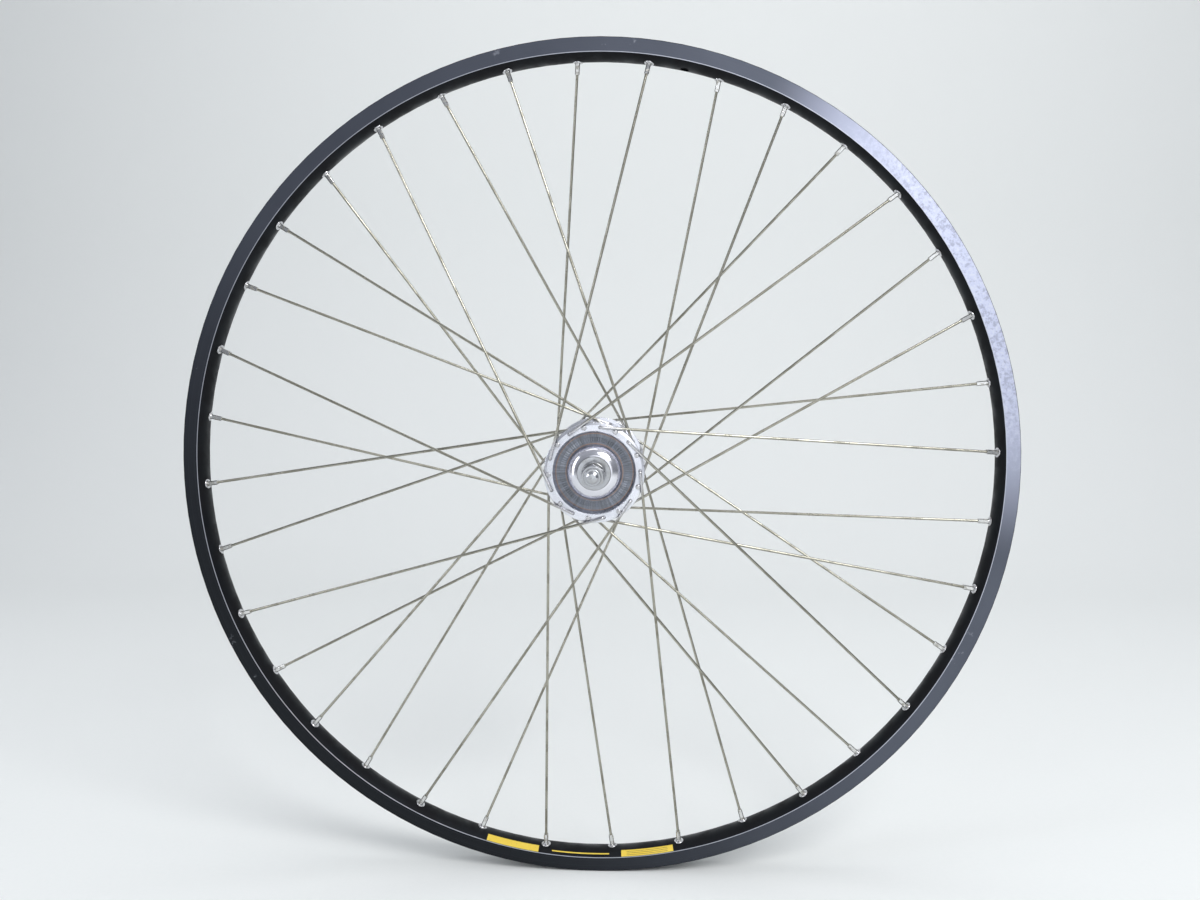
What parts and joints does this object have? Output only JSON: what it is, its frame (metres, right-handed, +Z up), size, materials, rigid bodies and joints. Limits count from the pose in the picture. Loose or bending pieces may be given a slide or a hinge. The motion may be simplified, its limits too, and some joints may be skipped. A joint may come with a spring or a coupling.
{
  "type": "bicycle hub gear in a spoked wheel",
  "caption": "Planetary hub gear with sprocket, shift rod and open internals, laced with crossed spokes into a box-section rim for a glued tyre.",
  "frame": {"origin": "centre of the rim, on the axle, midway between the locknut faces", "axes": "+Y along the axle towards the sprocket side, -Y towards the left side, +X forward or back in the wheel's plane, +Z up"},
  "size_m": [0.6329, 0.1316, 0.633],
  "materials": {
    "rim_anodised": "dark bluish-grey hard anodised aluminium, satin, scuffed bright on the brake track",
    "polished_alloy": "polished aluminium, lightly tarnished",
    "cup_steel": "grey steel with fine radial machining marks",
    "cap_chrome": "mirror-bright chromium plate",
    "spoke_steel": "drawn steel wire, dull galvanised",
    "nipple_plate": "nickel-plated brass",
    "eyelet_plate": "pressed and plated steel",
    "bright_zinc": "turned steel, bright zinc plated",
    "gear_steel": "hardened steel, ground and oiled",
    "ball_steel": "polished bearing steel",
    "cage_steel": "pressed steel strip",
    "spring_steel": "blued spring wire",
    "label_film": "yellow printed film label, satin, slightly faded and chipped at its edges",
    "sprocket_steel": "stamped steel, zinc plated"
  },
  "bodies": {
    "axle_set": {"axle": "bright_zinc", "left_cone": "bright_zinc", "left_cone_shield": "bright_zinc", "left_lock_washer": "bright_zinc", "left_spacer": "bright_zinc", "left_locknut": "bright_zinc", "right_cone": "bright_zinc", "right_lock_washer": "bright_zinc", "right_locknut": "bright_zinc"},
    "wheel": {"rim": "rim_anodised", "rim_labels": "label_film", "eyelets": "eyelet_plate", "nipples": "nipple_plate", "spokes_left_outer": "spoke_steel", "spokes_left_inner": "spoke_steel", "spokes_right_outer": "spoke_steel", "spokes_right_inner": "spoke_steel", "hub_shell": "polished_alloy", "left_ball_cup": "cup_steel", "left_dust_cap": "cap_chrome", "right_ball_ring": "cup_steel", "right_dust_cap": "cap_chrome"},
    "driver_set": {"driver": "gear_steel", "driver_dust_cap": "cap_chrome", "sprocket": "sprocket_steel", "sprocket_spacers": "sprocket_steel", "sprocket_circlip": "spring_steel", "clutch_spring": "spring_steel"},
    "clutch_set": {"clutch": "gear_steel"},
    "shift_set": {"shift_rod": "gear_steel", "axle_key": "gear_steel", "thrust_ring": "gear_steel"},
    "gear_ring_set": {"gear_ring": "gear_steel", "ring_pawl_pins": "gear_steel", "ring_pawl_springs": "spring_steel"},
    "ring_pawl_a": {"ring_pawl_1": "gear_steel"},
    "ring_pawl_b": {"ring_pawl_2": "gear_steel"},
    "planet_cage_set": {"planet_cage": "gear_steel", "planet_pins": "gear_steel", "low_pawl_pins": "gear_steel", "low_pawl_springs": "spring_steel"},
    "low_pawl_a": {"low_pawl_1": "gear_steel"},
    "low_pawl_b": {"low_pawl_2": "gear_steel"},
    "planet_a": {"planet_1": "gear_steel"},
    "planet_b": {"planet_2": "gear_steel"},
    "planet_c": {"planet_3": "gear_steel"},
    "planet_d": {"planet_4": "gear_steel"},
    "left_ball_set": {"left_balls": "ball_steel", "left_ball_cage": "cage_steel"},
    "driver_ball_set": {"driver_balls": "ball_steel", "driver_ball_cage": "cage_steel"},
    "ring_ball_set": {"ring_balls": "ball_steel", "ring_ball_cage": "cage_steel"}
  },
  "joints": [
    {"name": "wheel_spin", "type": "hinge", "parent": "axle_set", "child": "wheel", "pos_m": [0, 0, 0], "axis": [0, -1, 0], "continuous": true},
    {"name": "driver_spin", "type": "hinge", "parent": "axle_set", "child": "driver_set", "pos_m": [0, 0, 0], "axis": [0, -1, 0], "continuous": true},
    {"name": "gear_ring_spin", "type": "hinge", "parent": "axle_set", "child": "gear_ring_set", "pos_m": [0, 0, 0], "axis": [0, -1, 0], "continuous": true},
    {"name": "planet_cage_spin", "type": "hinge", "parent": "axle_set", "child": "planet_cage_set", "pos_m": [0, 0, 0], "axis": [0, -1, 0], "continuous": true},
    {"name": "planet_a_spin", "type": "hinge", "parent": "planet_cage_set", "child": "planet_a", "pos_m": [0.015, 0, 0], "axis": [0, -1, 0], "continuous": true},
    {"name": "planet_b_spin", "type": "hinge", "parent": "planet_cage_set", "child": "planet_b", "pos_m": [0, 0, 0.015], "axis": [0, -1, 0], "continuous": true},
    {"name": "planet_c_spin", "type": "hinge", "parent": "planet_cage_set", "child": "planet_c", "pos_m": [-0.015, 0, 0], "axis": [0, -1, 0], "continuous": true},
    {"name": "planet_d_spin", "type": "hinge", "parent": "planet_cage_set", "child": "planet_d", "pos_m": [0, 0, -0.015], "axis": [0, -1, 0], "continuous": true},
    {"name": "left_ball_spin", "type": "hinge", "parent": "axle_set", "child": "left_ball_set", "pos_m": [0, 0, 0], "axis": [0, -1, 0], "continuous": true},
    {"name": "driver_ball_spin", "type": "hinge", "parent": "axle_set", "child": "driver_ball_set", "pos_m": [0, 0, 0], "axis": [0, -1, 0], "continuous": true},
    {"name": "ring_ball_spin", "type": "hinge", "parent": "axle_set", "child": "ring_ball_set", "pos_m": [0, 0, 0], "axis": [0, -1, 0], "continuous": true},
    {"name": "clutch_slide", "type": "slide", "parent": "driver_set", "child": "clutch_set", "axis": [0, -1, 0], "range_m": [0, 0.0035], "deforming": ["clutch_spring"]},
    {"name": "shift_slide", "type": "slide", "parent": "axle_set", "child": "shift_set", "axis": [0, -1, 0], "range_m": [0, 0.0035]},
    {"name": "low_pawl_a_swing", "type": "hinge", "parent": "planet_cage_set", "child": "low_pawl_a", "pos_m": [0.0145, 0, 0.0145], "axis": [0, -1, 0], "range_deg": [0, 12], "stiffness_Nm_per_rad": 0.001},
    {"name": "low_pawl_b_swing", "type": "hinge", "parent": "planet_cage_set", "child": "low_pawl_b", "pos_m": [-0.0145, 0, -0.0145], "axis": [0, -1, 0], "range_deg": [0, 12], "stiffness_Nm_per_rad": 0.001},
    {"name": "ring_pawl_a_swing", "type": "hinge", "parent": "gear_ring_set", "child": "ring_pawl_a", "pos_m": [0.0145, 0, 0.0145], "axis": [0, -1, 0], "range_deg": [0, 3], "stiffness_Nm_per_rad": 0.001},
    {"name": "ring_pawl_b_swing", "type": "hinge", "parent": "gear_ring_set", "child": "ring_pawl_b", "pos_m": [-0.0145, 0, -0.0145], "axis": [0, -1, 0], "range_deg": [0, 3], "stiffness_Nm_per_rad": 0.001}
  ],
  "couplings": [
    {"joint": "driver_spin", "follows": "wheel_spin", "ratio": 1.3333},
    {"joint": "gear_ring_spin", "follows": "wheel_spin", "ratio": 1.3333},
    {"joint": "planet_cage_spin", "follows": "wheel_spin", "ratio": 1},
    {"joint": "planet_a_spin", "follows": "wheel_spin", "ratio": 1},
    {"joint": "planet_b_spin", "follows": "wheel_spin", "ratio": 1},
    {"joint": "planet_c_spin", "follows": "wheel_spin", "ratio": 1},
    {"joint": "planet_d_spin", "follows": "wheel_spin", "ratio": 1},
    {"joint": "left_ball_spin", "follows": "wheel_spin", "ratio": 0.59003},
    {"joint": "driver_ball_spin", "follows": "wheel_spin", "ratio": 0.7867},
    {"joint": "ring_ball_spin", "follows": "wheel_spin", "ratio": 1.1522},
    {"joint": "shift_slide", "follows": "clutch_slide", "ratio": 1}
  ]
}
